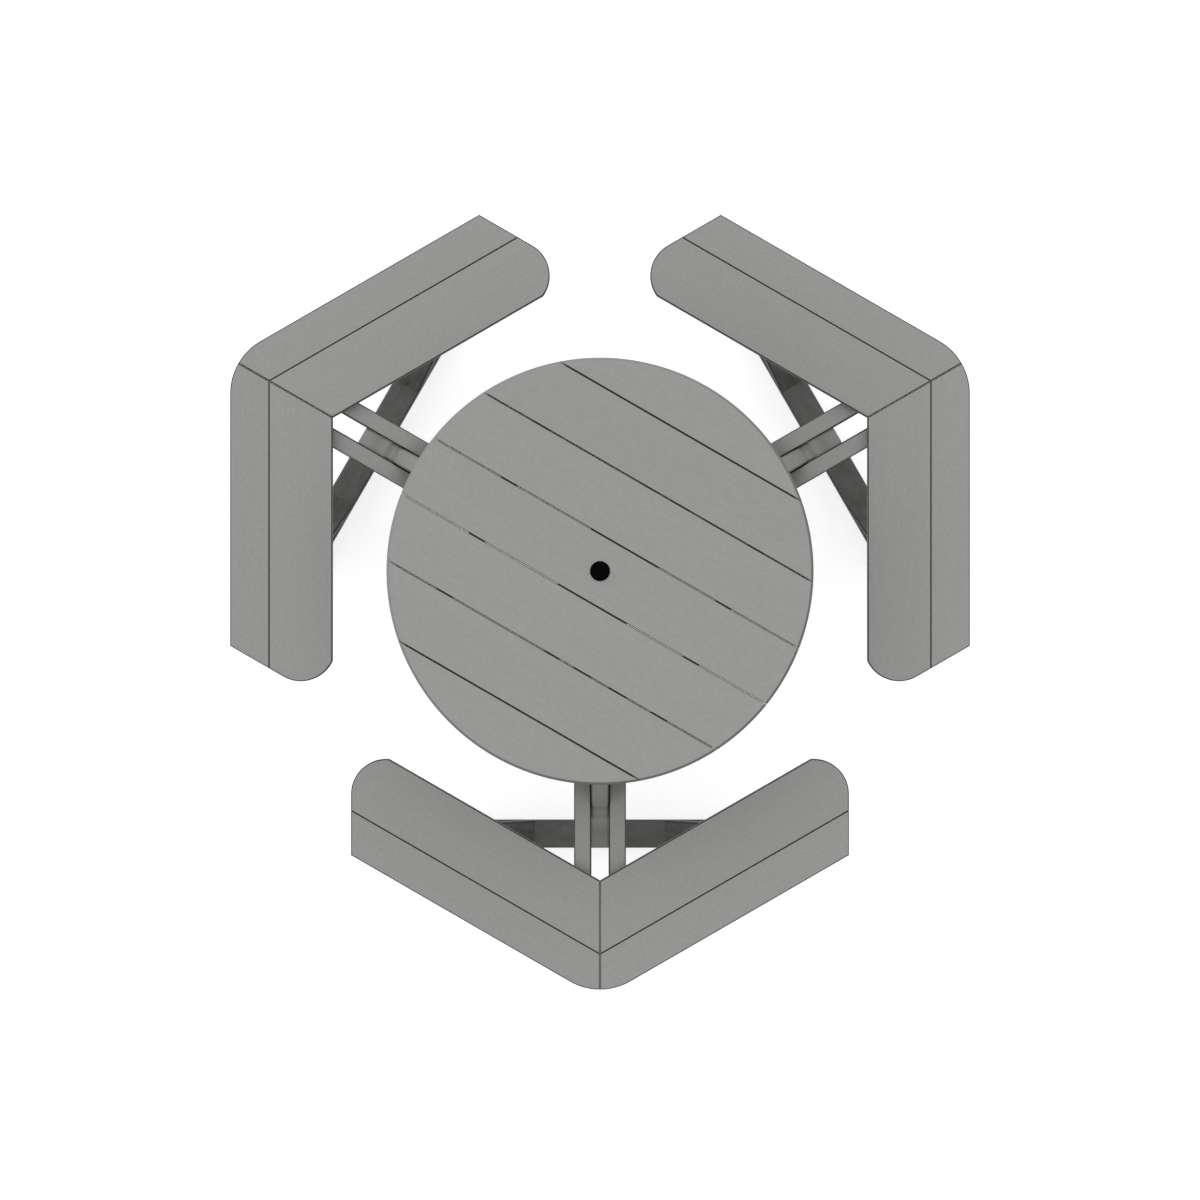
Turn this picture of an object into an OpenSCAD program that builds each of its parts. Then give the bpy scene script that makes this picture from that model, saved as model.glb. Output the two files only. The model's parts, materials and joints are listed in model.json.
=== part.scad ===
// Round picnic table of recycled-plastic lumber: a seven-plank round top with an
// umbrella hole, three raked sandwich frames and three mitred V benches.
// Millimetres, +Z up. The origin is on the ground, straight below the umbrella hole.
// A frame's own axes: +X points outward along the frame, +Y sideways, +Z up.

/* [Table top] */
// Diameter of the round top
top_d = 1219; // [1180:1:1250]
// Height of the top face above the ground
table_h = 749; // [720:1:780]
// Thickness of the top planks
plank_t = 32; // [26:1:40]
// Pitch of the planks as a share of the top's diameter
plank_pitch_share = 0.1508; // [0.1465:0.0001:0.153]
// Gap between two top planks
plank_gap = 1; // [0.6:0.1:4]
// Rounding of a plank's long edges
plank_edge_r = 3; // [0.8:0.1:4]
// Rounding of the rim's upper edge
rim_r = 10; // [4:0.5:14]
// Rounding of the rim's lower edge
rim_low_r = 3; // [1:0.5:6]
// Distance of the outer cleats from the table's centre, as a share of the top's diameter
cleat_x_share = 0.291; // [0.271:0.001:0.311]
// How far the cleats and rails stop inside the rim
rim_setback = 25; // [15:1:40]
// How far the cleats stop short of the rails' ends
cleat_setback = 20; // [15:1:60]

/* [Umbrella hole] */
// Diameter of the umbrella hole in the top and in both hub plates
hole_d = 51; // [40:0.5:56]
// How far the plug's flange laps over the hole's edge
plug_lip = 3; // [2:0.5:8]
// Thickness of the plug's flange
plug_flange_t = 3; // [2:0.5:5]
// Wall of the plug's hollow shank
plug_wall = 2.4; // [1.6:0.1:4]
// Length of the plug's shank
plug_depth = 26; // [16:1:30]
// Radial clearance of the plug's shank in the hole
plug_clear = 0.3; // [0.2:0.05:0.6]
// Width of the slots between the shank's fingers
plug_slot_w = 4; // [2:0.5:8]
// Rounding of the flange's edge and of the shank's tip
plug_edge_r = 1.4; // [0.5:0.1:1.6]

/* [Benches] */
// Height of the seat's face above the ground
seat_h = 444; // [425:1:465]
// Thickness of the seat boards
seat_t = 32; // [26:1:40]
// Distance from the table's axis to a bench's inner edge
seat_in = 786.8; // [775:0.1:800]
// Width of the inner seat board
inner_board_w = 185.2; // [175:0.1:195]
// Width of the outer seat board
outer_board_w = 113.8; // [105:0.1:125]
// Gap between the inner and the outer seat board
board_gap = 1.6; // [1:0.1:4]
// Gap of the mitre joint between a bench's two arms
mitre_gap = 0.4; // [0.2:0.1:4]
// Sideways distance from a bench's centre line to its sawn ends
arm_reach = 732; // [700:1:760]
// Radius of the rounded outer corner of the V
apex_r = 178; // [100:1:200]
// Radius of the rounded inner corner of each end
end_r = 102; // [80:1:110]
// Distance of that corner's centre from the bench's inner edge
end_in = 93; // [75:1:100]
// Rounding of the seat boards' long edges and of the V's outer corner
seat_edge_r = 2; // [1:0.1:4]
// Rounding of the edges round a board's sawn ends
sawn_edge_r = 2.6; // [1.5:0.1:4]
// How far the seat cleats stop short of the boards' edges
seat_setback = 25; // [15:1:35]

/* [Frames] */
// Thickness of the frame lumber
lumber_t = 51; // [48:1:54]
// Depth of a top rail, and width of a cleat that lies flat
rail_h = 89; // [80:1:96]
// Depth of a seat beam
beam_h = 114; // [100:1:130]
// Rounding of the frame lumber's long edges
lumber_edge_r = 6; // [2:0.5:8]
// Clearance between the inner ends of neighbouring frames
hub_gap = 2; // [1:0.5:5]
// Size of the chamfer under a top rail's outer end
rail_nose = 25; // [10:1:35]
// Size of the chamfer under a seat beam's outer end
beam_nose = 55; // [30:1:70]
// How far a seat beam stops inside the bench's outer corner
beam_setback = 78; // [65:1:90]
// Distance from the table's axis to a foot's outer face
foot_out = 839; // [832:1:846]
// Width of a foot
foot_w = 84; // [82:1:92]
// Height of a foot
foot_h = 51; // [46:1:58]
// Length of a foot
foot_len = 900; // [820:1:960]
// Size of the chamfer on a foot's upper end edges
foot_nose = 20; // [8:1:30]
// Lean of the legs from upright, in degrees
leg_lean = 23; // [22.5:0.1:24.5]
// How far the middle of a seat cleat, over a brace's head, lies inside the bench's sawn end
cleat_inset = 187; // [170:1:205]

/* [Hub plates] */
// Diameter of the two hub plates
hub_d = 254; // [240:1:270]
// Thickness of the hub plates
hub_t = 6; // [4:0.5:10]
// Distance of the hub screws from the table's axis, along each frame
hub_screw_x = 88; // [75:1:95]

/* [Fasteners] */
// Diameter of the frame bolts
bolt_d = 12; // [10:1:14]
// Radial clearance of a bolt in its hole
bolt_clear = 0.3; // [0.1:0.05:0.8]
// Width across flats of the bolt heads and nuts
bolt_af = 18; // [17:1:20]
// Height of the hexagon of bolt heads and nuts
bolt_hex_h = 7; // [5:0.5:8]
// Diameter of the flange on bolt heads and nuts
bolt_flange_d = 26; // [23:0.5:27]
// Thickness of that flange
bolt_flange_t = 2; // [1.5:0.5:3]
// Depth of the counterbores that hide bolt heads and nuts
bolt_sink = 12; // [11.5:0.5:16]
// Radial room round a flange in its counterbore
sink_room = 1.5; // [0.5:0.5:3]
// Height between the two bolts of a top rail
rail_bolt_pitch = 40; // [36:1:46]
// Height between the two bolts of a seat beam
beam_bolt_pitch = 56; // [44:1:64]
// Diameter of the timber screws
screw_d = 8; // [6:0.5:9]
// Diameter of a timber screw's head
screw_head_d = 14; // [12:0.5:16]
// Height of a timber screw's head
screw_head_h = 5; // [3:0.5:6]
// Thickness that a timber screw clamps under its head
screw_grip = 39; // [34:1:42]
// Depth that a timber screw reaches into the second piece
screw_bite = 22; // [16:1:24]
// Length of a timber screw's point
screw_tip = 6; // [3:0.5:8]
// Radial clearance of a timber screw in its hole
screw_clear = 0.2; // [0.1:0.05:0.5]
// Distance of the plank screws from a plank's centre line
plank_screw_y = 45; // [30:1:60]

/* [Hidden] */

$fn = 64;
// How far a cut runs past the face that it opens
over = 1;
// Steps of a small rounded edge, and of the rim's larger one
edge_steps = 4;
rim_steps = 8;

// Directions of the three frames, and of the planks, which follow the left frame
frame_turn = 120;
front = -90;
right = front + frame_turn;
left = right + frame_turn;
frame_turns = [front, right, left];
plank_turn = left - 180;
// In the planks' axes the front and the right frame lie this far to either side of +X
splay = frame_turn / 2;
// Each arm of a bench is square to a line that lies this far from the bench's centre line
arm_turn = 90 - splay;
brace_turn = 45;

lumber_grey = [0.59, 0.59, 0.575];
plug_black = [0.03, 0.03, 0.03];
plate_black = [0.10, 0.10, 0.11];
steel = [0.72, 0.73, 0.75];

plank_count = 7;
plank_pitch = top_d * plank_pitch_share;
plank_w = plank_pitch - plank_gap;
top_r = top_d / 2;
top_under = table_h - plank_t;
cleat_x = top_d * cleat_x_share;
seat_under = seat_h - seat_t;
seat_out = seat_in + inner_board_w + board_gap + outer_board_w;

// A sandwich frame: two members with the leg between them
frame_half = lumber_t + lumber_t / 2;
member_y = lumber_t;
rail_in = frame_half / tan(splay) + hub_gap;
rail_out = top_r - rim_setback;
rail_z = [top_under - rail_h, top_under];
beam_z = [seat_under - beam_h, seat_under];
foot_in = foot_out - foot_w;
foot_mid = foot_out - foot_w / 2;
leg_w = foot_w * cos(leg_lean);

// Corner circle of the V's outer corner, tangent to both arms
apex_x = (seat_out - apex_r) / cos(arm_turn);
beam_out = apex_x + apex_r - beam_setback;
// Corner circle of an arm's end, tangent to the sawn end
end_y = arm_reach - end_r;
end_x = (seat_in + end_in - end_y * sin(arm_turn)) / cos(arm_turn);
end_corner_x = (seat_in - arm_reach * sin(arm_turn)) / cos(arm_turn);

// The braces run from the foot up to the middle of the seat cleats
cleat_z = [seat_under - lumber_t, seat_under];
cleat_y = arm_reach - cleat_inset;
brace_run = (cleat_z[0] - foot_h) * tan(brace_turn);
brace_level = lumber_t / cos(brace_turn);
brace_heel = cleat_y - brace_run - brace_level / 2;

function leg_x(z) = foot_mid - (z - foot_h) * tan(leg_lean);
function turned(p, a) = [p.x * cos(a) - p.y * sin(a), p.x * sin(a) + p.y * cos(a), p.z];
function arc(x, y, r, from, to, steps) =
    [for (i = [0:steps]) let (a = from + (to - from) * i / steps) [x + r * cos(a), y + r * sin(a)]];
function round_rect(x, y, r) = concat(
    arc(x[1] - r, y[1] - r, r, 0, 90, edge_steps),
    arc(x[0] + r, y[1] - r, r, 90, 180, edge_steps),
    arc(x[0] + r, y[0] + r, r, 180, 270, edge_steps),
    arc(x[1] - r, y[0] + r, r, 270, 360, edge_steps)
);

// Two bolts through each crossing of the leg, set along the leg's own centre line
rail_bolts = [for (k = [-1, 1]) let (z = (rail_z[0] + rail_z[1] + k * rail_bolt_pitch) / 2) [leg_x(z), z]];
beam_bolts = [for (k = [-1, 1]) let (z = (beam_z[0] + beam_z[1] + k * beam_bolt_pitch) / 2) [leg_x(z), z]];

// Places of the timber screws: along a rail, across a seat board, from a foot's inner face
// in widths of the foot, and across a brace's ends
rail_screw_shares = [0.21, 0.38, 0.66, 0.785];
inner_screw_shares = [0.2, 0.75];
outer_screw_share = 0.22;
cleat_screw_shares = [-1, -0.35, 1.28, 1.72];
heel_screw_shares = [0.25, 0.75];
leg_screw_shares = [0.19, 0.66];
head_offset_share = 0.2;
heel_offset_share = 0.58;
// Slots of the plug along its shank, and the bevel round a screw's head
plug_slot_share = 0.66;
head_bevel_share = 0.25;

// Timber screws, each as the place of its head's seat: x, y and height
// Through the rails into the planks, in the frame's axes
rail_screws = [for (s = rail_screw_shares, k = [-1, 1])
    [rail_in + (rail_out - rail_in) * s, k * member_y, top_under - screw_grip]];
// Through the cleats into the planks, in the planks' axes
cleat_rim = top_r - rim_setback - cleat_setback;
function cleat_end(x) = sqrt(pow(cleat_rim, 2) - pow(abs(x) + lumber_t / 2, 2));
// Where the side of the front or right frame passes the line x, in the planks' axes
function frame_side(x) = (x * sin(splay) + frame_half) / cos(splay);
long_inside = (cleat_x - lumber_t / 2) * tan(splay) - frame_half / cos(splay) - board_gap;
long_end = min(cleat_end(cleat_x), long_inside);
screw_edge = lumber_t / 2;
plank_screw_lines = [for (i = [1:plank_count], k = [-1, 1])
    (i - (plank_count + 1) / 2) * plank_pitch + k * plank_screw_y];
long_screws = [for (y = plank_screw_lines) if (abs(y) < long_end - screw_edge)
    [cleat_x, y, top_under - screw_grip]];
end_screws = [for (y = plank_screw_lines)
    if (abs(y) > frame_half + screw_edge && abs(y) < cleat_end(cleat_x) - screw_edge)
    [-cleat_x, y, top_under - screw_grip]];
mid_screws = [for (y = plank_screw_lines)
    if (abs(y) > frame_side(lumber_t / 2) + screw_edge && abs(y) < cleat_end(0) - screw_edge)
    [0, y, top_under - screw_grip]];
top_screws = concat(
    long_screws, end_screws, mid_screws,
    [for (a = frame_turns, p = rail_screws) turned(p, a - plank_turn)]
);
// Through the hub plates into the rails and beams
hub_screws = [for (z = [rail_z[0], beam_z[0]], k = [-1, 1]) [hub_screw_x, k * member_y, z - hub_t]];
// Through the beams into the seat boards
beam_screw_ds = concat(
    [for (s = inner_screw_shares) seat_in + inner_board_w * s],
    [seat_out - outer_board_w * (1 - outer_screw_share)]
);
beam_screws = [for (d = beam_screw_ds)
    [(d - member_y * sin(arm_turn)) / cos(arm_turn), member_y, seat_under - screw_grip]];
// Through the seat cleats into the boards, clear of the brace below
cleat_screws = [for (s = cleat_screw_shares) [foot_in + foot_w * s, cleat_y, seat_under - screw_grip]];
// Through the braces into the seat cleats, and through the feet into braces and legs
heel_screw_xs = [for (s = heel_screw_shares) foot_in + foot_w * s];
head_screws = [for (x = heel_screw_xs)
    [x, cleat_y - lumber_t * head_offset_share, cleat_z[0] - screw_grip]];
heel_screws = [for (x = heel_screw_xs)
    [x, brace_heel + brace_level * heel_offset_share, foot_h - screw_grip]];
leg_screws = [for (s = leg_screw_shares) [foot_in + foot_w * s, 0, foot_h - screw_grip]];

// Bars with rounded long edges, given by their ranges along x, y and z
module bar_x(x, y, z, r) {
    translate([x[0], 0, 0])
        rotate([90, 0, 90])
            linear_extrude(height = x[1] - x[0])
                polygon(round_rect(y, z, r));
}

module bar_y(x, y, z, r) {
    translate([0, y[1], 0])
        rotate([90, 0, 0])
            linear_extrude(height = y[1] - y[0])
                polygon(round_rect(x, z, r));
}

module bar_z(x, y, z, r) {
    translate([0, 0, z[0]])
        linear_extrude(height = z[1] - z[0])
            polygon(round_rect(x, y, r));
}

module block(x, y, z) {
    translate([x[0], y[0], z[0]])
        cube([x[1] - x[0], y[1] - y[0], z[1] - z[0]]);
}

// A prism along y with its outline in the x-z plane
module prism_y(points, y) {
    translate([0, y[1], 0])
        rotate([90, 0, 0])
            linear_extrude(height = y[1] - y[0])
                polygon(points);
}

module in_frame(turn) {
    rotate([0, 0, turn])
        children();
}

// Side b lies towards +Y of the frame, side a is its mirror image
module on_side(side) {
    mirror([0, side < 0 ? 1 : 0, 0])
        children();
}

// The hole of a timber screw, with a counterbore that comes up from below
module screw_cut(p, sink = 0) {
    translate(p)
        cylinder(r = screw_d / 2 + screw_clear, h = screw_grip + screw_bite + over);
    if (sink > 0)
        translate([p.x, p.y, p.z - sink])
            cylinder(r = screw_head_d / 2 + sink_room, h = sink);
}

// The hole of a frame bolt along y, with a counterbore at each end
module bolt_cut(p) {
    translate([p[0], frame_half + over, p[1]])
        rotate([90, 0, 0])
            cylinder(r = bolt_d / 2 + bolt_clear, h = 2 * (frame_half + over));
    for (y = [frame_half + over, -frame_half + bolt_sink])
        translate([p[0], y, p[1]])
            rotate([90, 0, 0])
                cylinder(r = bolt_flange_d / 2 + sink_room, h = bolt_sink + over);
}

// A 45 degree chamfer under the outer end of a member
module nose_cut(x, z, size, y) {
    prism_y([
        [x - size - over, z - over],
        [x + over, z - over],
        [x + over, z + size + over]
    ], [y[0] - over, y[1] + over]);
}

// Takes off what lies outside a corner circle, and rounds the edges along it
module corner_cut(r, from, to, z, edge_r, reach) {
    rotate([0, 0, from])
        rotate_extrude(angle = to - from)
            polygon(concat(
                [[r - edge_r, z[0] - over], [r + reach, z[0] - over],
                    [r + reach, z[1] + over], [r - edge_r, z[1] + over]],
                arc(r - edge_r, z[1] - edge_r, edge_r, 90, 0, edge_steps),
                arc(r - edge_r, z[0] + edge_r, edge_r, 0, -90, edge_steps)
            ));
}

// The round outline of the top, with its routed rim
module top_disc() {
    rotate_extrude($fn = 180)
        polygon(concat(
            [[0, top_under]],
            arc(top_r - rim_low_r, top_under + rim_low_r, rim_low_r, -90, 0, edge_steps),
            arc(top_r - rim_r, table_h - rim_r, rim_r, 0, 90, rim_steps),
            [[0, table_h]]
        ));
}

module top_plank(i) {
    y = (i - (plank_count + 1) / 2) * plank_pitch;
    color(lumber_grey)
        rotate([0, 0, plank_turn])
            difference() {
                intersection() {
                    bar_x([-top_r - over, top_r + over], [y - plank_w / 2, y + plank_w / 2],
                        [top_under, table_h], plank_edge_r);
                    top_disc();
                }
                if (abs(y) < plank_w / 2)
                    translate([0, 0, top_under - over])
                        cylinder(d = hole_d, h = plank_t + 2 * over);
                for (p = top_screws)
                    if (abs(p.y - y) < plank_w / 2 + screw_d)
                        screw_cut(p);
            }
}

// A cleat on edge across the planks, from y[0] to y[1]
module top_cleat(x, y, screws) {
    difference() {
        bar_y([x - lumber_t / 2, x + lumber_t / 2], y, rail_z, lumber_edge_r);
        for (p = screws)
            screw_cut(p, rail_h - screw_grip + over);
    }
}

module top_cleat_long() {
    color(lumber_grey)
        rotate([0, 0, plank_turn])
            top_cleat(cleat_x, [-long_end, long_end], long_screws);
}

module top_cleat_end(side) {
    color(lumber_grey)
        rotate([0, 0, plank_turn])
            on_side(side)
                top_cleat(-cleat_x, [frame_half, cleat_end(cleat_x)], [for (p = end_screws) if (p.y > 0) p]);
}

// The middle cleats are sawn at an angle against the side of a frame
module top_cleat_mid(side) {
    color(lumber_grey)
        rotate([0, 0, plank_turn])
            on_side(side)
                difference() {
                    top_cleat(0, [frame_side(-lumber_t / 2) - over, cleat_end(0)],
                        [for (p = mid_screws) if (p.y > 0) p]);
                    rotate([0, 0, splay])
                        block([0, rail_out], [-frame_half, frame_half], [rail_z[0] - over, rail_z[1] + over]);
                }
}

module hub_plate(z) {
    color(plate_black)
        difference() {
            translate([0, 0, z])
                cylinder(d = hub_d, h = hub_t, $fn = 120);
            translate([0, 0, z - over])
                cylinder(d = hole_d, h = hub_t + 2 * over);
            for (a = frame_turns, p = hub_screws)
                in_frame(a)
                    screw_cut([p.x, p.y, z - over]);
        }
}

// Hollow plug with a rounded flange and four springy fingers
module umbrella_plug() {
    r = hole_d / 2 - plug_clear;
    flange_r = hole_d / 2 + plug_lip;
    slot_h = plug_depth * plug_slot_share;
    color(plug_black)
        difference() {
            translate([0, 0, table_h])
                rotate_extrude($fn = 96)
                    polygon(concat(
                        [[0, 0], [r - plug_wall, 0], [r - plug_wall, -plug_depth],
                            [r - plug_edge_r, -plug_depth], [r, plug_edge_r - plug_depth],
                            [r, 0], [flange_r, 0]],
                        arc(flange_r - plug_edge_r, plug_flange_t - plug_edge_r, plug_edge_r,
                            0, 90, edge_steps),
                        [[0, plug_flange_t]]
                    ));
            for (a = [0, 90])
                rotate([0, 0, a])
                    block([-flange_r, flange_r], [-plug_slot_w / 2, plug_slot_w / 2],
                        [table_h - plug_depth - over, table_h - plug_depth + slot_h]);
        }
}

module top_rail(turn, side) {
    color(lumber_grey)
        in_frame(turn)
            on_side(side)
                difference() {
                    bar_x([rail_in, rail_out], [lumber_t / 2, frame_half], rail_z, lumber_edge_r);
                    nose_cut(rail_out, rail_z[0], rail_nose, [lumber_t / 2, frame_half]);
                    for (p = rail_bolts)
                        bolt_cut(p);
                    for (p = rail_screws)
                        if (p.y > 0)
                            screw_cut(p, rail_h - screw_grip + over);
                    screw_cut(hub_screws[1]);
                }
}

module seat_beam(turn, side) {
    color(lumber_grey)
        in_frame(turn)
            on_side(side)
                difference() {
                    bar_x([rail_in, beam_out], [lumber_t / 2, frame_half], beam_z, lumber_edge_r);
                    nose_cut(beam_out, beam_z[0], beam_nose, [lumber_t / 2, frame_half]);
                    for (p = beam_bolts)
                        bolt_cut(p);
                    for (p = beam_screws)
                        screw_cut(p, beam_h - screw_grip + over);
                    screw_cut(hub_screws[3]);
                }
}

// The leg leans inward between the members, and is sawn level at both ends
module leg(turn) {
    color(lumber_grey)
        in_frame(turn)
            difference() {
                intersection() {
                    translate([foot_out, 0, foot_h])
                        rotate([0, -leg_lean, 0])
                            bar_z([-leg_w, 0], [-lumber_t / 2, lumber_t / 2],
                                [-table_h, 2 * table_h], lumber_edge_r);
                    block([0, 2 * foot_out], [-lumber_t, lumber_t], [foot_h, top_under]);
                }
                for (p = concat(rail_bolts, beam_bolts))
                    bolt_cut(p);
                for (p = leg_screws)
                    screw_cut(p);
            }
}

// The foot lies flat under leg and braces, with its upper end edges chamfered
module foot(turn) {
    half = foot_len / 2;
    color(lumber_grey)
        in_frame(turn)
            difference() {
                intersection() {
                    bar_y([foot_in, foot_out], [-half, half], [0, foot_h], lumber_edge_r);
                    rotate([90, 0, 90])
                        linear_extrude(height = 2 * foot_out)
                            polygon([
                                [-half, -over], [half, -over], [half, foot_h - foot_nose],
                                [half - foot_nose - over, foot_h + over],
                                [foot_nose + over - half, foot_h + over], [-half, foot_h - foot_nose]
                            ]);
                }
                for (p = leg_screws)
                    screw_cut(p, foot_h - screw_grip + over);
                for (k = [-1, 1], p = heel_screws)
                    screw_cut([p.x, k * p.y, p.z], foot_h - screw_grip + over);
            }
}

// A knee brace rises at 45 degrees from the foot to the seat cleat
module brace(turn, side) {
    color(lumber_grey)
        in_frame(turn)
            on_side(side)
                difference() {
                    intersection() {
                        translate([0, brace_heel, foot_h])
                            rotate([-brace_turn, 0, 0])
                                bar_z([foot_in, foot_out], [0, lumber_t],
                                    [-seat_h, 2 * seat_h], lumber_edge_r);
                        block([0, 2 * foot_out], [0, 2 * arm_reach], [foot_h, cleat_z[0]]);
                    }
                    for (p = heel_screws)
                        screw_cut(p);
                    for (p = head_screws)
                        screw_cut(p, lumber_t);
                }
}

module seat_cleat(turn, side) {
    color(lumber_grey)
        in_frame(turn)
            on_side(side)
                difference() {
                    intersection() {
                        bar_x([0, 2 * seat_out], [cleat_y - rail_h / 2, cleat_y + rail_h / 2],
                            cleat_z, lumber_edge_r);
                        rotate([0, 0, arm_turn])
                            block([seat_in + seat_setback, seat_out - seat_setback], [-seat_out, seat_out],
                                [cleat_z[0] - over, cleat_z[1] + over]);
                    }
                    for (p = cleat_screws)
                        screw_cut(p, lumber_t - screw_grip + over);
                    for (p = head_screws)
                        screw_cut(p);
                }
}

// One board of a bench arm, between the distances d[0] and d[1] from the table's axis
module seat_board(d) {
    z = [seat_under, seat_h];
    difference() {
        intersection() {
            rotate([0, 0, arm_turn])
                bar_y(d, [-seat_out, seat_out], z, seat_edge_r);
            bar_x([0, 2 * seat_out], [mitre_gap / 2, arm_reach], z, sawn_edge_r);
        }
        for (p = concat(beam_screws, cleat_screws)) {
            off = p.x * cos(arm_turn) + p.y * sin(arm_turn) - (d[0] + d[1]) / 2;
            if (abs(off) < (d[1] - d[0]) / 2 + screw_d)
                screw_cut(p);
        }
    }
}

module inner_board(turn, side) {
    reach = norm([end_x - end_corner_x, end_r]) - end_r + over;
    color(lumber_grey)
        in_frame(turn)
            on_side(side)
                difference() {
                    seat_board([seat_in, seat_in + inner_board_w]);
                    translate([end_x, end_y, 0])
                        corner_cut(end_r, 90, 180 + arm_turn, [seat_under, seat_h], sawn_edge_r, reach);
                }
}

module outer_board(turn, side) {
    reach = apex_r / cos(arm_turn) - apex_r + over;
    color(lumber_grey)
        in_frame(turn)
            on_side(side)
                difference() {
                    seat_board([seat_out - outer_board_w, seat_out]);
                    translate([apex_x, 0, 0])
                        corner_cut(apex_r, 0, arm_turn, [seat_under, seat_h], seat_edge_r, reach);
                }
}

// A flanged hexagon, its seat at z = 0 and its height towards -Z
module flanged_hex() {
    translate([0, 0, -bolt_flange_t])
        cylinder(d = bolt_flange_d, h = bolt_flange_t);
    translate([0, 0, -bolt_flange_t - bolt_hex_h])
        cylinder(r = bolt_af / 2 / cos(30), h = bolt_hex_h, $fn = 6);
}

module frame_bolts() {
    length = 2 * (frame_half - bolt_sink) + bolt_flange_t + bolt_hex_h + over;
    color(steel)
        for (a = frame_turns, p = concat(rail_bolts, beam_bolts))
            in_frame(a)
                translate([p[0], frame_half - bolt_sink, p[1]])
                    rotate([90, 0, 0]) {
                        flanged_hex();
                        cylinder(d = bolt_d, h = length);
                    }
}

module frame_nuts() {
    nut_h = bolt_flange_t + bolt_hex_h;
    color(steel)
        for (a = frame_turns, p = concat(rail_bolts, beam_bolts))
            in_frame(a)
                translate([p[0], bolt_sink - frame_half, p[1]])
                    rotate([-90, 0, 0])
                        difference() {
                            flanged_hex();
                            translate([0, 0, -nut_h - over])
                                cylinder(r = bolt_d / 2 + screw_clear, h = nut_h + 2 * over);
                        }
}

// A pan-head screw driven upward, its head's seat at p
module screw(p) {
    bevel = screw_head_h * head_bevel_share;
    translate(p)
        rotate_extrude($fn = 32)
            polygon([
                [0, -screw_head_h], [screw_head_d / 2 - bevel, -screw_head_h],
                [screw_head_d / 2, bevel - screw_head_h], [screw_head_d / 2, 0],
                [screw_d / 2, 0], [screw_d / 2, screw_grip + screw_bite - screw_tip],
                [0, screw_grip + screw_bite]
            ]);
}

module timber_screws() {
    both = concat(beam_screws, cleat_screws, head_screws, heel_screws);
    color(steel) {
        rotate([0, 0, plank_turn])
            for (p = top_screws)
                screw(p);
        for (a = frame_turns)
            in_frame(a) {
                for (p = concat(hub_screws, leg_screws))
                    screw(p);
                for (k = [-1, 1], p = both)
                    screw([p.x, k * p.y, p.z]);
            }
    }
}

top_plank(1);  // top_plank_1
top_plank(2);  // top_plank_2
top_plank(3);  // top_plank_3
top_plank(4);  // top_plank_4
top_plank(5);  // top_plank_5
top_plank(6);  // top_plank_6
top_plank(7);  // top_plank_7
top_cleat_long();
top_cleat_mid(-1);  // top_cleat_mid_a
top_cleat_mid(1);  // top_cleat_mid_b
top_cleat_end(-1);  // top_cleat_end_a
top_cleat_end(1);  // top_cleat_end_b
hub_plate(rail_z[0] - hub_t);  // upper_hub_plate
hub_plate(beam_z[0] - hub_t);  // lower_hub_plate
umbrella_plug();
top_rail(front, -1);  // front_top_rail_a
top_rail(front, 1);  // front_top_rail_b
seat_beam(front, -1);  // front_seat_beam_a
seat_beam(front, 1);  // front_seat_beam_b
leg(front);  // front_leg
foot(front);  // front_foot
brace(front, -1);  // front_brace_a
brace(front, 1);  // front_brace_b
seat_cleat(front, -1);  // front_seat_cleat_a
seat_cleat(front, 1);  // front_seat_cleat_b
inner_board(front, -1);  // front_inner_board_a
inner_board(front, 1);  // front_inner_board_b
outer_board(front, -1);  // front_outer_board_a
outer_board(front, 1);  // front_outer_board_b
top_rail(right, -1);  // right_top_rail_a
top_rail(right, 1);  // right_top_rail_b
seat_beam(right, -1);  // right_seat_beam_a
seat_beam(right, 1);  // right_seat_beam_b
leg(right);  // right_leg
foot(right);  // right_foot
brace(right, -1);  // right_brace_a
brace(right, 1);  // right_brace_b
seat_cleat(right, -1);  // right_seat_cleat_a
seat_cleat(right, 1);  // right_seat_cleat_b
inner_board(right, -1);  // right_inner_board_a
inner_board(right, 1);  // right_inner_board_b
outer_board(right, -1);  // right_outer_board_a
outer_board(right, 1);  // right_outer_board_b
top_rail(left, -1);  // left_top_rail_a
top_rail(left, 1);  // left_top_rail_b
seat_beam(left, -1);  // left_seat_beam_a
seat_beam(left, 1);  // left_seat_beam_b
leg(left);  // left_leg
foot(left);  // left_foot
brace(left, -1);  // left_brace_a
brace(left, 1);  // left_brace_b
seat_cleat(left, -1);  // left_seat_cleat_a
seat_cleat(left, 1);  // left_seat_cleat_b
inner_board(left, -1);  // left_inner_board_a
inner_board(left, 1);  // left_inner_board_b
outer_board(left, -1);  // left_outer_board_a
outer_board(left, 1);  // left_outer_board_b
frame_bolts();
frame_nuts();
timber_screws();
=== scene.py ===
"""Looks of a round picnic table of grey recycled-plastic lumber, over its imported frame.

Metres, +Z up, the origin on the ground straight below the umbrella hole. A frame's own axes are
X outwards along the frame and Y sideways, as in the model of its construction.
"""
import json

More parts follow.
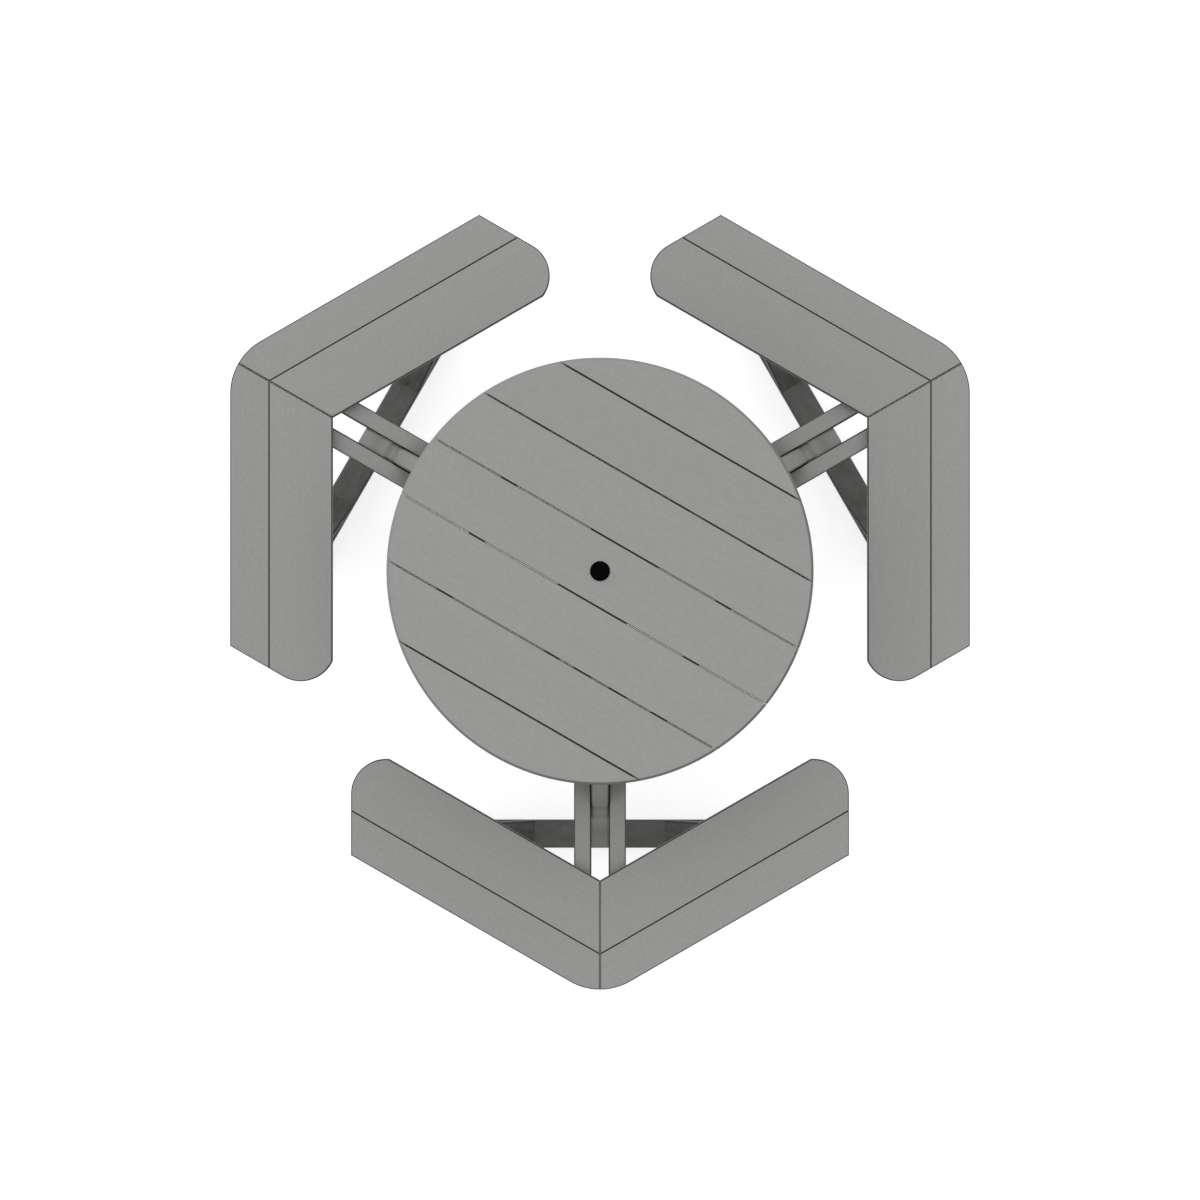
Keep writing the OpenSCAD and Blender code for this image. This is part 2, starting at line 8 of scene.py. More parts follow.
import bpy
import numpy as np
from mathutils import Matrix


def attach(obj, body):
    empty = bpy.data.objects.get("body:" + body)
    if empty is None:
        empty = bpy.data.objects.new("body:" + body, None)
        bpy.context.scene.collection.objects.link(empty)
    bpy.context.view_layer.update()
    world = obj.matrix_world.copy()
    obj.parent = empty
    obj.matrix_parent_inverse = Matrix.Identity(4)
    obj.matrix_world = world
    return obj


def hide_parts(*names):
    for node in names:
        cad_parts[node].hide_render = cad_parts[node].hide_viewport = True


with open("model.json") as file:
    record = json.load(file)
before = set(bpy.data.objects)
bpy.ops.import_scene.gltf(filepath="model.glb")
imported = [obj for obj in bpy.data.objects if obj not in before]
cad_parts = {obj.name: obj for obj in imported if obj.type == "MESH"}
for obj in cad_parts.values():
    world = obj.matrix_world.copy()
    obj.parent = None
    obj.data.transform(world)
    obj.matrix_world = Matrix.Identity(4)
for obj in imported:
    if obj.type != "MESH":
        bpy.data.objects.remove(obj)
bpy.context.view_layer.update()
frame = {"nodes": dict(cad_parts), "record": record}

MM = 0.001

# Directions of the frames about Z, of the planks, and of a bench arm against its frame; how far a
# leg leans from upright and a brace from the ground
FRAME_TURNS = {"front": np.radians(-90), "right": np.radians(30), "left": np.radians(150)}
PLANK_TURN = np.radians(-30)
ARM_TURN = np.radians(30)
LEG_LEAN = np.radians(23)
BRACE_TURN = np.radians(45)
UP = np.array([0.0, 0.0, 1.0])

# Faces that meet at less than this angle are shaded as one, and a corner turned less than a sine
# of this is straight
SMOOTH_UP_TO = np.radians(35)
NEARLY_STRAIGHT = 1e-5

# Rounded edges of planks and seat boards, the rounded corners of a bench, half the joint of its
# mitre, and how finely arcs and edges are stepped
PLANK_EDGE = 3.3 * MM
RIM_EDGE = 10 * MM
RIM_LOW_EDGE = 3 * MM
SEAT_EDGE = 2 * MM
ROUTED_EDGE = 4.2 * MM
MITRE_EDGE = 4 * MM
APEX_R = 178 * MM
END_R = 102 * MM
END_IN = 93 * MM
HALF_MITRE = 0.2 * MM
ARC_CHORD = 9 * MM
EDGE_STEPS = 6

# Umbrella hole in the middle plank, and the rays that its plank's points lie on
HOLE_R = 25.5 * MM
HOLE_EASING = 1 * MM
HOLE_STEPS = 32

# Plug: its flange, with a groove at distances inside the rim and a dish at shares of the radius;
# its shank, slotted up to a share of its length; its fingers' tips, narrower by two amounts and
# straight from a height; and the barbs, widest at one height above the tip and ended at the next
PLUG_FLANGE = 3 * MM
PLUG_ROUNDING = 1.4 * MM
PLUG_EASING = 0.3 * MM
PLUG_PLAY = 0.3 * MM
PLUG_GROOVE = 0.35 * MM
PLUG_GROOVE_AT = (4.4 * MM, 4.8 * MM, 5.6 * MM, 6 * MM)
PLUG_DISH = 0.5 * MM
PLUG_DISH_REACH = 0.72
PLUG_DISH_STEPS = (0.7, 0.6, 0.45, 0.3, 0.15, 0.02)
PLUG_WALL = 2.4 * MM
PLUG_SLOT = 4 * MM
PLUG_SLOT_SHARE = 0.66
FINGER_TIP = (1.2 * MM, 0.2 * MM, 1.4 * MM)
BARB = 0.15 * MM
BARB_HEIGHTS = (4 * MM, 5.5 * MM)
PLUG_SEGMENTS = 96
COLLAR_SEGMENTS = 72
FINGER_SEGMENTS = 16

# Plates, bolts, nuts and screws. The hexagon's chamfer starts and steps at drops from its top. The
# shares are of half its flats, of its corner's radius and of a shank's radius, and a screw head's
# rounding is given as distances inside the head and above its face
PLATE_EDGE = 1.2 * MM
PLATE_SEGMENTS = 120
HEX_FLATS = 18 * MM
HEX_HEIGHT = 7 * MM
HEX_ROUNDING = 0.4 * MM
HEX_CHAMFER = (1.4 * MM, 0.7 * MM)
HEX_TOP_SHARES = (1.02, 0.94)
HEX_CORNER_SHARE = 0.93
HEAD_SEGMENTS = 36
DISH_SHARE = 0.55
DISH_DEPTH = 0.3 * MM
BORE_CHAMFER = 0.7 * MM
BORE_SINK = 0.6 * MM
FLANGE_R = 13 * MM
FLANGE_T = 2 * MM
BOLT_R = 6 * MM
BOLT_TIP = 0.8 * MM
BOLT_BORE_PLAY = 0.2 * MM
POLE_SHARE = 0.1
SHANK_SEGMENTS = 24
SCREW_HEAD_R = 7 * MM
SCREW_HEAD_H = 5 * MM
SCREW_HEAD_ROUNDING = ((2.2 * MM, 0.0), (0.6 * MM, 0.7 * MM), (0.0, 2 * MM))
SCREW_R = 4 * MM
SCREW_TIP = 6 * MM
SCREW_POINT_SHARE = 0.05
RECESS_R = 3.4 * MM
RECESS_DEPTH = 2.6 * MM
RECESS_LOBE = 0.12
RECESS_TAPER = 0.9
RECESS_EDGE = (0.3 * MM, 0.25 * MM)
SCREW_SEGMENTS = 24

# Noise in lumber: how often it varies along and across the grain in a metre, or each way alike, its
# detail and its roughness. Then the values between which pores, sawn faces and tones come up, how
# far a piece's tone is off, the relief's depth, and how far apart two pieces' noise starts
STREAKS = (4.0, 150.0, 3.0, 0.6)
BANDS = (1.2, 14.0, 2.0, 0.5)
MOTTLE = (70.0, 110.0, 3.0, 0.65)
SCUFFS = (20.0, 45.0, 4.0, 0.7)
SPECKS = (900.0, 1.0)
PORES = (420.0, 2.0, 0.7)
PORE_STEP = (0.62, 0.72)
SAWN_STEP = (0.3, 0.6)
TONE_STEP = (0.3, 0.7)
TONE_SHIFT = 0.03
RELIEF = 0.25 * MM
NODE_SHIFT = 1.7

# What each noise does in lumber: shares of streaks, bands, mottle and specks in the tone, and of
# streaks, mottle and specks in the relief; then depths, shades and roughness
TONE_SHARES = (0.13, 0.07, 0.38, 0.42)
RELIEF_SHARES = (0.3, 0.3, 0.4)
RELIEF_STRENGTH = 0.6
SCUFF_DEPTH = 0.25
PORE_DEPTH = 0.9
PORE_SHADE = 0.6
SAWN_SHADE = 0.7
LEAST_GRIME_AND_SHADE = 0.35
LUMBER_ROUGH = 0.56
STREAK_ROUGH = 0.1
SCUFF_ROUGH = 0.12
SAWN_ROUGH = 0.12
LUMBER_SHEEN = 0.12

# The same for the plug's plastic, the plates' coat and the steel: noises, and a roughness with what
# each noise adds to it. A relief is a depth and a strength
PLUG_SKIN = (2400.0, 2.0)
PLUG_ROUGH = (0.6, 0.15)
PLUG_RELIEF = (0.05 * MM, 0.5)
PLUG_SHEEN = 0.02
COAT_PEEL = (620.0, 2.0)
COAT_DUST = (18.0, 4.0, 0.65)
DUST_STEP = (0.35, 0.8)
COAT_ROUGH = (0.42, 0.16)
COAT_RELIEF = (0.08 * MM, 0.6)
STEEL_PATCHES = (60.0, 3.0)
STEEL_MARKS = (1500.0, 1.0)
STEEL_ROUGH = (0.24, 0.14, 0.06)
STEEL_RELIEF = (0.02 * MM, 0.5)

# Colours of lumber, as light that comes back. The edge colour is painted shade, the grime colour is
# grime mixed with painted shade, and the lit colour is painted light on a leg
LUMBER_LIGHT = (0.325, 0.325, 0.316)
LUMBER_DARK = (0.276, 0.276, 0.268)
LUMBER_PORE = (0.17, 0.17, 0.166)
LUMBER_EDGE_SHADE = (0.03, 0.03, 0.029)
LUMBER_GRIME_AND_SHADE = (0.1, 0.1, 0.095)
LUMBER_LIT = (0.7, 0.7, 0.682)

# Grime and painted shade towards the ground, by the height where they end and their strength, and
# the painted shade on edges, by how dark it is and by how far a face there looks along the piece's
# flat direction
GRIME_AND_SHADE_TOP = 0.42
GRIME_AND_SHADE = 0.66
BRACE_GRIME_AND_SHADE = 1.0
LEG_GRIME_AND_SHADE = 0.06
EDGE_SHADE = 0.97
LEG_EDGE_SHADE = 0.3
EDGE_FLAT = (0.92, 0.999)
BAR_EDGE_FLAT = (0.7, 0.97)
EDGE_STEEP = (0.02, 0.3)

# Where lumber carries painted light and shade: the strength of the top's painted shadow on the beams
# and the distances from the axis between which it ends, where the rim's edge begins and how much
# less painted shade it has, heights between which a leg is covered by its beams and painted lighter
# or stands above them and is darker, the side that the light comes from and how much less edge shade
# that side has, the groove beside a leg, painted black as shade, by its distances from the frame's
# centre line, its height and its distances from the axis, and how far a face looks aside for no
# groove to show, or inwards for a beam's edge to be a wide one
TOP_SHADOW = 0.32
TOP_SHADOW_END = (0.62, 0.69)
RIM_START = (0.59, 0.6)
RIM_LESS_SHADE = 0.45
COVERED_FROM = (0.19, 0.34)
COVERED_TO = (0.345, 0.395)
LEG_LIT_SHARE = 0.8
OPEN_FROM = (0.4, 0.43)
LEG_TOP_DARKER = 0.2
LIGHT_FROM = (-0.7, 0.72, 0.0)
LIT_SIDE_STEP = (-0.4, 0.5)
LIT_SIDE_LESS_SHADE = 0.7
GROOVE_IN = (0.0225, 0.0245)
GROOVE_OUT = (0.028, 0.031)
GROOVE_START = (0.57, 0.59)
GROOVE_END = (0.686, 0.7)
GROOVE_FROM = (0.395, 0.405)
GROOVE_SHADE_BLACK = (0.004, 0.004, 0.004)
LOOKS_ASIDE = (0.9, 0.99)
LOOKS_INWARDS = (0.02, 0.2)

# Colours of the plug, the plates, the fasteners, the floor and the light
PLUG_BLACK = (0.0012, 0.0012, 0.0012)
PLUG_WORN = (0.0018, 0.0018, 0.0018)
PLATE_BLACK = (0.022, 0.022, 0.024)
PLATE_DUSTY = (0.0396, 0.0396, 0.0432)
STEEL_LIGHT = (0.62, 0.61, 0.59)
STEEL_DARK = (0.44, 0.43, 0.42)
FLOOR_GREY = (0.6, 0.6, 0.6)
WHITE = (1.0, 1.0, 1.0, 1.0)

# Light: the floor's size and how far it lies below the feet, the sky's level, how much brighter it
# is towards one side, and what the camera, but no light, adds to the floor's own shade
FLOOR_REACH = 40.0
FLOOR_DROP = 0.3 * MM
SKY_LEVEL = 1.02
SKY_LEAN = (-0.2, 0.45, 0.0)
FLOOR_LIFT = 0.73

# Camera over the table, slightly towards the front frame
CAMERA_AT = (0.0, -0.0824, 10.639)
CAMERA_LENS = 104.06
CAMERA_SENSOR = 36.0
CAMERA_REACH = 200.0

# Start of the random draws
SEED = 7


def turned(points, angle):
    """Points turned by an angle about Z."""
    c, s = np.cos(angle), np.sin(angle)
    turned_points = np.array(points, float)
    x, y = turned_points[..., 0].copy(), turned_points[..., 1].copy()
    turned_points[..., 0] = x * c - y * s
    turned_points[..., 1] = x * s + y * c
    return turned_points


def node_points(node):
    """The corners of a CAD node's mesh, as an array."""
    mesh = frame["nodes"][node].data
    points = np.empty(len(mesh.vertices) * 3)
    mesh.vertices.foreach_get("co", points)
    return points.reshape(-1, 3)


def node_box(node, angle=0.0):
    """Lowest and highest corner of a CAD node in axes turned by an angle about Z."""
    points = turned(node_points(node), -angle)
    return points.min(axis=0), points.max(axis=0)


def piece(name, points, faces, material, body, slot, *replaced):
    """A mesh object that rides on a body, stands for CAD nodes and is smooth where it bends little."""
    mesh = bpy.data.meshes.new(name)
    mesh.from_pydata(points.tolist(), [], faces)
    mesh.polygons.foreach_set("use_smooth", [True] * len(mesh.polygons))
    mesh.set_sharp_from_angle(angle=SMOOTH_UP_TO)
    mesh.materials.append(material)
    thing = bpy.data.objects.new(name, mesh)
    bpy.context.scene.collection.objects.link(thing)
    weighted = thing.modifiers.new("flat faces stay flat", "WEIGHTED_NORMAL")
    weighted.keep_sharp = True
    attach(thing, body)
    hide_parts(*replaced)


def grid_faces(rows, columns):
    """Four-sided faces of a grid of rows by columns, whose last column joins the first."""
    row, column = np.meshgrid(np.arange(rows - 1), np.arange(columns), indexing="ij")
    after = (column + 1) % columns
    corners = [row * columns + column, row * columns + after,
               (row + 1) * columns + after, (row + 1) * columns + column]
    return np.stack(corners, axis=-1).reshape(-1, 4).tolist()


def joined(parts):
    """Several (points, faces) pairs as one."""
    points, faces, start = [], [], 0
    for part_points, part_faces in parts:
        points.append(part_points)
        faces += [[corner + start for corner in face] for face in part_faces]
        start += len(part_points)
    return np.concatenate(points), faces


def arc(centre, radius, start, end, steps=None):
    """Points along a circle from one angle to another, in some steps or about a chord apart."""
    steps = steps or max(int(np.ceil(abs(end - start) * radius / ARC_CHORD)), 2)
    angles = np.linspace(start, end, steps + 1)
    x, y = centre
    return np.stack([x + radius * np.cos(angles), y + radius * np.sin(angles)], axis=1)


def inset(outline, amounts):
    """An anticlockwise outline with side i moved inwards by amounts[i].

    A corner goes to where the lines of its two moved sides cross: with unit normals m and n and
    moves p and q, the shift d solves m.d = p and n.d = q. On a straight stretch d is n times q.
    """
    ahead = np.roll(outline, -1, axis=0) - outline
    ahead /= np.linalg.norm(ahead, axis=1, keepdims=True)
    n = np.stack([-ahead[:, 1], ahead[:, 0]], axis=1)
    m = np.roll(n, 1, axis=0)
    q = amounts
    p = np.roll(q, 1)
    cross = m[:, 0] * n[:, 1] - m[:, 1] * n[:, 0]
    straight = np.abs(cross) < NEARLY_STRAIGHT
    safe = np.where(straight, 1.0, cross)[:, None]
    crossing = np.stack([p * n[:, 1] - q * m[:, 1], q * m[:, 0] - p * n[:, 0]], axis=1) / safe
    return outline + np.where(straight[:, None], n * q[:, None], crossing)


def drawn_in(z, z_low, z_high, low_edge, high_edge):
    """How far a rounded edge lies inside the outline at height z: r - sqrt(r * r - t * t), where r is
    the edge's radius and t the distance into its rounded part, below or above."""
    over = np.clip(z - (z_high - high_edge), 0, high_edge)
    under = np.clip((z_low + low_edge) - z, 0, low_edge)
    above = high_edge - np.sqrt(high_edge**2 - over**2)
    return above + low_edge - np.sqrt(low_edge**2 - under**2)


def edge_levels(z_low, z_high, low_edges, high_edges):
    """The heights at which quarter circles of these radii take their steps."""
    quarter = np.sin(np.linspace(0, np.pi / 2, EDGE_STEPS + 1))
    rises = [z_high - radius * (1 - quarter) for radius in np.unique(high_edges)]
    drops = [z_low + radius * (1 - quarter) for radius in np.unique(low_edges)]
    return np.unique(np.round(np.concatenate(rises + drops), 7))


def at_levels(outlines, levels):
    """The points of flat outlines, each at its own height."""
    return np.concatenate([
        np.column_stack([flat, np.full(len(flat), z)]) for flat, z in zip(outlines, levels)
    ])


def stacked(outlines, levels):
    """A board from one outline for each level, closed by a flat face above and below."""
    return closed_tube(at_levels(outlines, levels), len(outlines), len(outlines[0]))


def seat_board(outline, edges, z_low, z_high):
    """A seat board: its outline with each side drawn in by that side's own rounded edge."""
    levels = edge_levels(z_low, z_high, edges, edges)
    moves = [drawn_in(z, z_low, z_high, edges, edges) for z in levels]
    return stacked([inset(outline, move) for move in moves], levels)


def plank(y_low, y_high, radius, z_low, z_high):
    """A strip of the round top: at each level a strip of a smaller disc.

    The disc's radius shrinks by the rim's rounding and the strip's sides by the plank's, so that a
    corner is always where that circle and that line cross. An outer plank has no far side. The
    middle plank is bored: points along its sides lie on rays at even angles from the axis, and each
    ray's points go on round the hole.
    """
    levels = edge_levels(z_low, z_high, (PLANK_EDGE, RIM_LOW_EDGE), (PLANK_EDGE, RIM_EDGE))
    far_low, far_high = y_low < -radius + MM, y_high > radius - MM
    bored = y_low < 0 < y_high
    ends = np.arcsin(np.clip(np.array([y_low, y_high]) / radius, -1, 1))
    steps = int(np.ceil((ends[1] - ends[0]) * radius / ARC_CHORD))
    outlines = []
    for z in levels:
        side = drawn_in(z, z_low, z_high, PLANK_EDGE, PLANK_EDGE)
        r = radius - drawn_in(z, z_low, z_high, RIM_LOW_EDGE, RIM_EDGE)
        low = -np.pi / 2 if far_low else np.arcsin((y_low + side) / r)
        high = np.pi / 2 if far_high else np.arcsin((y_high - side) / r)
        right = arc((0, 0), r, low, high, steps)
        left = arc((0, 0), r, np.pi - high, np.pi - low, steps)
        if bored:
            right = np.concatenate([right, ray_ends(y_high - side, high, np.pi - high)])
            left = np.concatenate([left, ray_ends(y_low + side, np.pi - low, 2 * np.pi + low)])
        right = right[:-1] if far_high else right
        left = left[:-1] if far_low else left
        outlines.append(np.concatenate([right, left]))
    if not bored:
        return stacked(outlines, levels)
    rays = outlines[-1] / np.linalg.norm(outlines[-1], axis=1, keepdims=True)
    outlines += [rays * r for r in (HOLE_R + HOLE_EASING, HOLE_R, HOLE_R, HOLE_R + HOLE_EASING)]
    levels = [*levels, z_high, z_high - HOLE_EASING, z_low + HOLE_EASING, z_low]
    return closed_ring(at_levels(outlines, levels), len(outlines), len(rays))


def ray_ends(y, start, end):
    """Where rays from the axis, at even angles between two, cross the line at y: x = y / tan(angle)."""
    angles = np.linspace(start, end, HOLE_STEPS)[1:-1]
    return np.stack([y / np.tan(angles), np.full(len(angles), y)], axis=1)


def inner_board_outline(near, far, reach):
    """The inner board of a bench arm in its frame's axes, and the edge radius of each side.

    A point at distance d from the table's axis and at y has x = (d - y sin a) / cos a, with a the
    arm's angle. The end's arc touches the sawn end and crosses the inner edge.
    """
    s, c = np.sin(ARM_TURN), np.cos(ARM_TURN)
    centre_y = reach - END_R
    centre = ((near + END_IN - centre_y * s) / c, centre_y)
    crossing = np.pi - np.arccos(END_IN / END_R) + ARM_TURN
    rounded = arc(centre, END_R, np.pi / 2, crossing)
    corners = np.array([
        [(near - HALF_MITRE * s) / c, HALF_MITRE],
        [(far - HALF_MITRE * s) / c, HALF_MITRE],
        [(far - reach * s) / c, reach],
    ])
    edges = np.full(len(corners) + len(rounded), ROUTED_EDGE)
    edges[:2] = MITRE_EDGE, SEAT_EDGE
    return np.concatenate([corners, rounded]), edges


def outer_board_outline(near, far, reach):
    """The outer board of a bench arm, whose arc touches the outer edge and meets the mitre squarely."""
    s, c = np.sin(ARM_TURN), np.cos(ARM_TURN)
    centre = ((far - APEX_R) / c, 0.0)
    rounded = arc(centre, APEX_R, np.arcsin(HALF_MITRE / APEX_R), ARM_TURN)
    start = np.array([[(near - HALF_MITRE * s) / c, HALF_MITRE]])
    ends = np.array([[(far - reach * s) / c, reach], [(near - reach * s) / c, reach]])
    edges = np.full(1 + len(rounded) + len(ends), ROUTED_EDGE)
    edges[[0, -1]] = MITRE_EDGE, SEAT_EDGE
    return np.concatenate([start, rounded, ends]), edges


def revolved(profile, segments, start=0.0, end=2 * np.pi):
    """A closed profile of (radius, height) pairs, anticlockwise, turned about Z, and capped where it
    doesn't close round."""
    whole = np.isclose(end - start, 2 * np.pi)
    angles = np.linspace(start, end, segments + 1)[: segments if whole else segments + 1]
    radius, height = np.array(profile, float).T
    points = np.stack([
        np.outer(np.cos(angles), radius), np.outer(np.sin(angles), radius),
        np.broadcast_to(height, (len(angles), len(height))),
    ], axis=-1).reshape(-1, 3)
    points, faces = (closed_ring if whole else closed_tube)(points, len(angles), len(height))
    return points, [face[::-1] for face in faces]


def lathe(profile, segments):
    """An open profile that starts and ends near the axis, turned about Z, with a face at each pole."""
    radius, height = np.array(profile, float).T
    angles = np.linspace(0, 2 * np.pi, segments, endpoint=False)
    points = np.stack([
        np.outer(radius, np.cos(angles)), np.outer(radius, np.sin(angles)),
        np.broadcast_to(height[:, None], (len(height), segments)),
    ], axis=-1).reshape(-1, 3)
    return closed_tube(points, len(radius), segments)


def ringed(rings, angles):
    """The points of (radius, height) rings about Z. A radius is one number or one for each angle."""
    return np.concatenate([
        np.column_stack([radius * np.cos(angles), radius * np.sin(angles), height + 0 * angles])
        for radius, height in rings
    ])


def closed_tube(points, rows, columns):
    """Rings of points, upwards and anticlockwise, joined and closed by a face at each end."""
    faces = grid_faces(rows, columns)
    last = (rows - 1) * columns
    faces.append(list(range(columns))[::-1])
    faces.append(list(range(last, last + columns)))
    return points, faces


def closed_ring(points, rows, columns):
    """Rings of points, up the outside and down the inside, whose last ring joins the first."""
    last = (rows - 1) * columns
    ring = np.arange(columns)
    after = (ring + 1) % columns
    closing = np.stack([last + ring, last + after, after, ring], axis=1)
    return points, grid_faces(rows, columns) + closing.tolist()


def hexagon(angles, flats):
    """Radius of a hexagon at each angle: half its flats over the cosine of the angle from the nearest
    flat's middle, held below a share of the corner radius, which rounds the corners."""
    from_flat = (angles + np.pi / 6) % (np.pi / 3) - np.pi / 6
    return np.minimum(flats / 2 / np.cos(from_flat), HEX_CORNER_SHARE * flats / np.sqrt(3))


def hex_head(bore_r):
    """A flanged hexagon on z = 0, along +Z, with a bore or, where its radius is zero, a dish.

    The flange's rings are circles, the body's are the hexagon, and the chamfer cuts the upper one
    back towards a circle.
    """
    angles = np.linspace(0, 2 * np.pi, HEAD_SEGMENTS, endpoint=False)
    hexagonal = hexagon(angles, HEX_FLATS)
    half = HEX_FLATS / 2
    top = FLANGE_T + HEX_HEIGHT
    inner = bore_r or DISH_SHARE * half
    rings = [
        (FLANGE_R - HEX_ROUNDING, 0.0),
        (FLANGE_R, HEX_ROUNDING),
        (FLANGE_R - HEX_ROUNDING, 2 * HEX_ROUNDING),
        (hexagonal + HEX_ROUNDING, FLANGE_T - HEX_ROUNDING / 4),
        (hexagonal, FLANGE_T + HEX_ROUNDING),
        (hexagonal, top - HEX_CHAMFER[0]),
        (np.minimum(hexagonal, HEX_TOP_SHARES[0] * half), top - HEX_CHAMFER[1]),
        (HEX_TOP_SHARES[1] * half, top),
        (inner + BORE_CHAMFER, top),
        (inner, top - (BORE_SINK if bore_r else DISH_DEPTH)),
    ]
    if bore_r:
        rings.insert(0, (bore_r, 0.0))
    close = closed_ring if bore_r else closed_tube
    return close(ringed(rings, angles), len(rings), len(angles))


def aimed(points, at, towards):
    """Points with their Z turned towards a direction in the ground plane, and moved to a place."""
    z = np.array(towards, float)
    x = UP
    y = np.cross(z, x)
    return points @ np.stack([x, y, z]) + at


def solids_of(node):
    """The corners of each separate solid of a CAD node.

    Corners that meet are one number, and each number takes the lowest one that an edge leads to,
    over and over, until each solid has one number.
    """
    points = node_points(node)
    mesh = frame["nodes"][node].data
    ends = np.empty(len(mesh.edges) * 2, int)
    mesh.edges.foreach_get("vertices", ends)
    weld = 0.01 * MM
    _, label = np.unique(np.round(points / weld).astype(np.int64), axis=0, return_inverse=True)
    label = label.reshape(-1)
    ends = label[ends.reshape(-1, 2)]
    group = np.arange(label.max() + 1)
    while True:
        low = np.minimum(group[ends[:, 0]], group[ends[:, 1]])
        lower = group.copy()
        np.minimum.at(lower, ends[:, 0], low)
        np.minimum.at(lower, ends[:, 1], low)
        lower = lower[lower]
        if np.array_equal(lower, group):
            break
        group = lower
    owner = group[label]
    return [points[owner == number] for number in np.unique(owner)]


class Wire:
    """A socket in shader maths: sums and products of wires and numbers add Math nodes."""

    def __init__(self, shader, socket):
        self.shader = shader
        self.socket = socket

    def maths(self, operation, *values):
        return self.shader.node("ShaderNodeMath", {"operation": operation}, dict(enumerate(values)))

    def __add__(self, other):
        return self.maths("ADD", self, other)

    def __radd__(self, other):
        return self.maths("ADD", other, self)

    def __sub__(self, other):
        return self.maths("SUBTRACT", self, other)

    def __rsub__(self, other):
        return self.maths("SUBTRACT", other, self)

    def __mul__(self, other):
        return self.maths("MULTIPLY", self, other)

    def __rmul__(self, other):
        return self.maths("MULTIPLY", other, self)

    def __abs__(self):
        return self.maths("ABSOLUTE", self)

    def step(self, low, high):
        """0 below low, 1 above high, and a smooth rise between."""
        return self.shader.node(
            "ShaderNodeMapRange", {"interpolation_type": "SMOOTHSTEP"},
            {"Value": self, "From Min": low, "From Max": high},
        )


class Shader:
    """The node tree of a material or of the world, with one method for every kind of node."""

    def __init__(self, owner):
        self.owner = owner
        owner.use_nodes = True
        self.nodes = owner.node_tree.nodes
        self.links = owner.node_tree.links
        self.nodes.clear()

    def node(self, kind, settings=None, values=None, out=0):
        """Adds a node, makes its settings, then sets or links its sockets, and gives one output."""
        made = self.nodes.new(kind)
        for name, setting in (settings or {}).items():
            setattr(made, name, setting)
        for name, value in (values or {}).items():
            if isinstance(value, Wire):
                self.links.new(value.socket, made.inputs[name])
            else:
                made.inputs[name].default_value = value
        return Wire(self, made.outputs[out]) if made.outputs else None

    def along(self, vector, direction):
        """How far a vector reaches along a fixed direction."""
        return self.node(
            "ShaderNodeVectorMath", {"operation": "DOT_PRODUCT"},
            {0: vector, 1: tuple(float(v) for v in direction)}, out="Value",
        )

    def combined(self, x, y, z):
        return self.node("ShaderNodeCombineXYZ", None, {"X": x, "Y": y, "Z": z})

    def noise(self, vector, scale, detail=2.0, roughness=0.5):
        return self.node(
            "ShaderNodeTexNoise", None,
            {"Vector": vector, "Scale": scale, "Detail": detail, "Roughness": roughness},
        )

    def blend(self, factor, first, second):
        """A colour between two, by a factor from 0 to 1."""
        colours = [c if isinstance(c, Wire) else (*c, 1.0) for c in (first, second)]
        return self.node(
            "ShaderNodeMix", {"data_type": "RGBA"}, {0: factor, 6: colours[0], 7: colours[1]}, out=2,
        )

    def bump(self, height, distance, strength=1.0):
        return self.node(
            "ShaderNodeBump", None, {"Height": height, "Distance": distance, "Strength": strength},
        )

    def finish(self, **sockets):
        """Closes the tree with a Principled shader whose sockets are given by name."""
        values = {name.replace("_", " "): value for name, value in sockets.items()}
        surface = self.node("ShaderNodeBsdfPrincipled", None, values)
        self.node("ShaderNodeOutputMaterial", None, {"Surface": surface})
        return self.owner


def weighed(noises, shares):
    """The sum of noises, each times its share."""
    first, *others = (noise * share for noise, share in zip(noises, shares))
    return sum(others, first)


